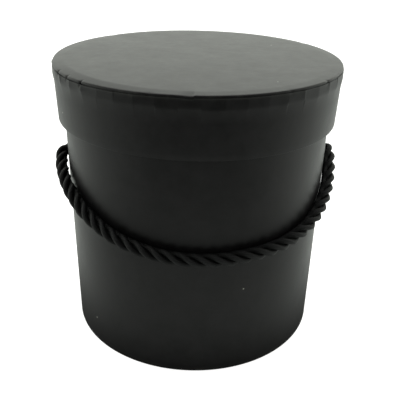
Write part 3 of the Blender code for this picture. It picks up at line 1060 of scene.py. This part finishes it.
def skirt_relief(angles, radius, height):
    """Raise the skirt paper over the tabs, at its seam and in slow waves."""
    outside = radius > LID_BOARD(height) - LID_SKIN
    lap = angle_from(angles, LID_SEAM_ANGLE)
    seam = LID_SEAM_RISE * step_up(lap, *SEAM_EDGE) * (1.0 - step_up(lap, *LID_SEAM_FADE))
    share, reach = SKIRT_DENTS
    dents = share * edge_dents(angles) * step_up(height, SKIRT_HIGH.z - reach, SKIRT_HIGH.z)
    ridges = tab_ridges(angles) * step_up(height - TOP_LOW.z, *RIDGE_SPAN)
    raised = tab_lift(angles, height) + ridges + seam - dents
    return waves(angles, radius, height, *SKIRT_WAVES) + outside * raised


def edge_fall(angles):
    """Return how far the lid's top edge lies below its middle: most where it was crushed."""
    even = EDGE_FALL * (1.0 + waves(angles, LID_RADIUS, 0.0, *EDGE_WAVES))
    crushed = angle_from(angles, CRUSHED_ANGLE) / CRUSHED_WIDTH
    lap = angle_from(angles, LAP_ANGLE)
    bulge = step_up(lap, -LAP_WIDTH, 0.0) * (1.0 - step_up(lap, 0.0, LAP_STEP))
    return even + CRUSHED_FALL * np.exp(-(crushed**2)) + LAP_FALL * bulge


def top_sink(angles, radius, height):
    """Return how far the lid's top surface sinks towards its edge."""
    share = np.clip((radius - LID_RADIUS + EDGE_RING) / EDGE_RING, 0.0, 1.0)
    near_top = step_up(height - TOP_HIGH.z, *TOP_SPAN)
    return edge_fall(angles) * share**FALL_CURVE * near_top


def skirt_sink(angles, radius, height):
    """Return how far the skirt paper's upper edge sinks with the lid's edge."""
    outside = radius > LID_BOARD(height) - LID_SKIN
    return edge_fall(angles) * step_up(height, SKIRT_HIGH.z - SKIRT_SINK, SKIRT_HIGH.z) * outside


def top_relief(angles, radius, height):
    """Shape the lid's top by dents in its edge and faint cockling."""
    cockle = waves(angles, radius, height, *TOP_WAVES) * step_up(radius, *FLAT_MIDDLE)
    return cockle - edge_dents(angles) * step_up(radius, TOP_HIGH.x - TOP_DENTS, TOP_HIGH.x)


def lid_point(height, out=0.0):
    """Return an outline's point at a distance outside the lid's board ring."""
    return LID_BOARD(height) + out, height


def build_lid(cover, lining):
    """Make the lid's top paper with its tabs, its skirt paper and its linings."""
    corners = [lid_point(end.z, TAB_LAYER) for end in (TOP_LOW, TOP_HIGH)]
    corners.append((0.0, TOP_HIGH.z))
    outline = filleted(corners, TOP_FOLD_RADIUS, TOP_FOLD_RADIUS)
    sheet = (outline, COVER_PAPER, cover, tab_columns(), top_relief)
    top = paper_shell("lid_top_cover", *sheet, folds=corners[1:2], sink=top_sink)
    finish_piece(top, "lid", "cover_paper", "lid_top_paper")

    inside = -LID_WALL_BOARD - COVER_LAYER
    corners = [
        lid_point(SKIRT_LOW.z + LID_FOLD, inside),
        lid_point(SKIRT_LOW.z, inside),
        lid_point(SKIRT_LOW.z, COVER_LAYER),
        lid_point(TOP_LOW.z - BAND_MARGIN, COVER_LAYER),
        lid_point(SKIRT_HIGH.z, COVER_LAYER),
    ]
    lower = filleted(corners[:4], 0.5 * FOLD_RADIUS, COVER_STEP)
    upper = filleted(corners[3:], FOLD_RADIUS, BAND_STEP)
    outline = np.concatenate([lower, upper[1:]])
    angles = seam_angles(tab_columns(), LID_SEAM_ANGLE)
    sheet = (outline, COVER_PAPER, cover, angles, skirt_relief)
    edge = corners[4:]
    # the skirt paper's cut upper edge gets wear and a painted highlight
    skirt = paper_shell("lid_skirt_cover", *sheet, folds=edge, cuts=edge, sink=skirt_sink)
    finish_piece(skirt, "lid", "cover_paper", "lid_skirt_wrap")

    place = ("lid_rim_lining", LID_BOARD, LID_WALL_BOARD + GAP + PAPER)
    wall = wall_lining("lid_wall_lining", *place, COVER_STEP, lining)
    finish_piece(wall, "lid", "lining_paper", "lid_rim_lining")
    paper_disc("lid_ceiling_lining", "lid_disc_lining", "lid", "lining_paper", lining, disc_relief)


def build_lid_boards(board):
    """Make the lid's ring and disc of board, whose top edge is crushed a little."""
    low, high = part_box("lid_rim")
    corners = [lid_point(low.z), lid_point(high.z)]
    corners += [lid_point(end.z, -LID_WALL_BOARD) for end in (high, low)]
    outline = filleted(corners + corners[:1], BOARD_ROUND, RING_STEP)[:-1]
    swept_board("lid_board_ring", "lid_rim", outline, board, top_sink)

    low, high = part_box("lid_disc")
    corners = [(0.0, low.z), (high.x, low.z), (high.x, high.z), (0.0, high.z)]
    outline = filleted(corners, BOARD_ROUND, BOARD_STEP)
    swept_board("lid_board_disc", "lid_disc", outline, board, disc_sink)


def disc_sink(angles, radius, height):
    """Return how far the lid disc's upper face sinks; its underside stays flat."""
    low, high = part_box("lid_disc")
    return top_sink(angles, radius, TOP_HIGH.z) * step_up(height, low.z, high.z)


# ---- studio
FLOOR_GLOW = 0.88
BOUNCE_COLOR = (0.94, 1.0, 0.93)
BOUNCE_GLOW = 1.47
# How the floor's bounce fades: from a place, to a place, and the share of the light at each
SHADE_FADE = (88.0 * MM, 150.0 * MM, 0.03, 1.0)
FRONT_FADE = (-0.50, -0.22, 0.12, 1.0)
BACK_FADE = (0.1, 0.35, 1.05, 0.68)
SIDE_FADE = (-0.3, 0.3, 0.95, 1.12)
NEAR_FADE = (0.05, 0.15, 1.0, 0.78)
WIDE_FADE = (0.17, 0.28, 1.0, 1.4)
SHADE_PLACE = (0.0, 25.0 * MM, 0.0)
SHADE_SHAPE = (1.08, 1.0, 1.0)
SIDE_WAY = (0.6, -0.8, 0.0)
# The same for the surround, by how far a direction points back, up and sideways
WORLD_COLOR = (0.96, 1.0, 0.92)
WORLD_BACK = (-0.2, 0.95, 0.25, 2.12)
WORLD_UP = (0.0, 0.32, 0.84, 1.08)
WORLD_SIDE = (0.2, 0.8, 0.0, 2.0)
OVERHEAD_POWER = 28.0
OVERHEAD_SIZE = 1.6
OVERHEAD_PLACE = (0.0, 0.3, 1.6)
SWEEP_SIZE = 3.0
SWEEP_CURVE = 1.2
SWEEP_STEPS = 64
BOUNCE_SIZE = 8.0
FLOOR_DROP = 0.2 * MM  # keeps the floor clear of the box's underside


def surround():
    """Return a world that is dim in front and grows bright towards the back and sides."""
    world = bpy.data.worlds.new("studio")
    world.use_nodes = True
    tree = world.node_tree
    add = node_adder(tree)
    background = tree.nodes["Background"]
    background.inputs["Color"].default_value = (*WORLD_COLOR, 1.0)
    way = add("ShaderNodeTexCoord").outputs["Generated"]
    parts = add("ShaderNodeSeparateXYZ", {"Vector": way}).outputs
    back = range_node(add, parts["Y"], *WORLD_BACK, SMOOTH)
    back = multiply(add, back, range_node(add, parts["Z"], *WORLD_UP))
    side = range_node(add, multiply(add, parts["X"], parts["X"]), *WORLD_SIDE)
    tree.links.new(math_node(add, "ADD", back, side), background.inputs["Strength"])
    return world


def seen_sweep():
    """Make the white sweep that is seen behind the box: a floor that curves up to a wall."""
    corners = [(0.0, 0.0), (SWEEP_SIZE, 0.0), (SWEEP_SIZE, SWEEP_SIZE), (0.0, SWEEP_SIZE)]
    outline = filleted(corners, SWEEP_CURVE, 0.5 * SWEEP_CURVE)
    angles = even_angles(SWEEP_STEPS)
    points = spun(angles, outline[None, :, 0], outline[None, :, 1])
    faces = spun_faces(len(angles), len(outline))
    sweep = mesh_object("studio_sweep", points, faces, floor_material())
    merge_points(sweep)
    for ray in ("diffuse", "glossy", "transmission", "shadow"):
        setattr(sweep, "visible_" + ray, False)


def build_studio():
    """Make a white sweep, a floor that lights the box, a surround and soft light.

    The sweep is only seen. The floor's bounce and the surround are what light the box.
    """
    seen_sweep()
    bpy.ops.mesh.primitive_plane_add(size=BOUNCE_SIZE, location=(0.0, 0.0, -FLOOR_DROP))
    bounce = bpy.context.object
    bounce.name = "floor_bounce"
    bounce.data.materials.append(bounce_material())
    bounce.visible_camera = False

    bpy.context.scene.world = surround()
    data = bpy.data.lights.new("overhead", "AREA")
    data.shape = "DISK"
    data.size = OVERHEAD_SIZE
    data.energy = OVERHEAD_POWER
    new_object("overhead", data).location = OVERHEAD_PLACE
    bpy.context.scene.view_settings.view_transform = "Standard"


def main():
    """Build the whole scene in order: camera, cord, box, lid, boards and studio."""
    add_camera()
    build_cord(cord_material(), tape_material())
    cover = paper_material("black_cover_paper", *COVER_LOOK)
    lining = paper_material("black_lining_paper", *LINING_LOOK)
    build_body(cover, lining)
    build_lid(cover, lining)
    board = board_material()
    build_lid_boards(board)
    for name in ("body_tube", "base_disc"):
        node = frame["nodes"][name]
        node.data.materials.clear()
        node.data.materials.append(board)
    build_studio()


main()
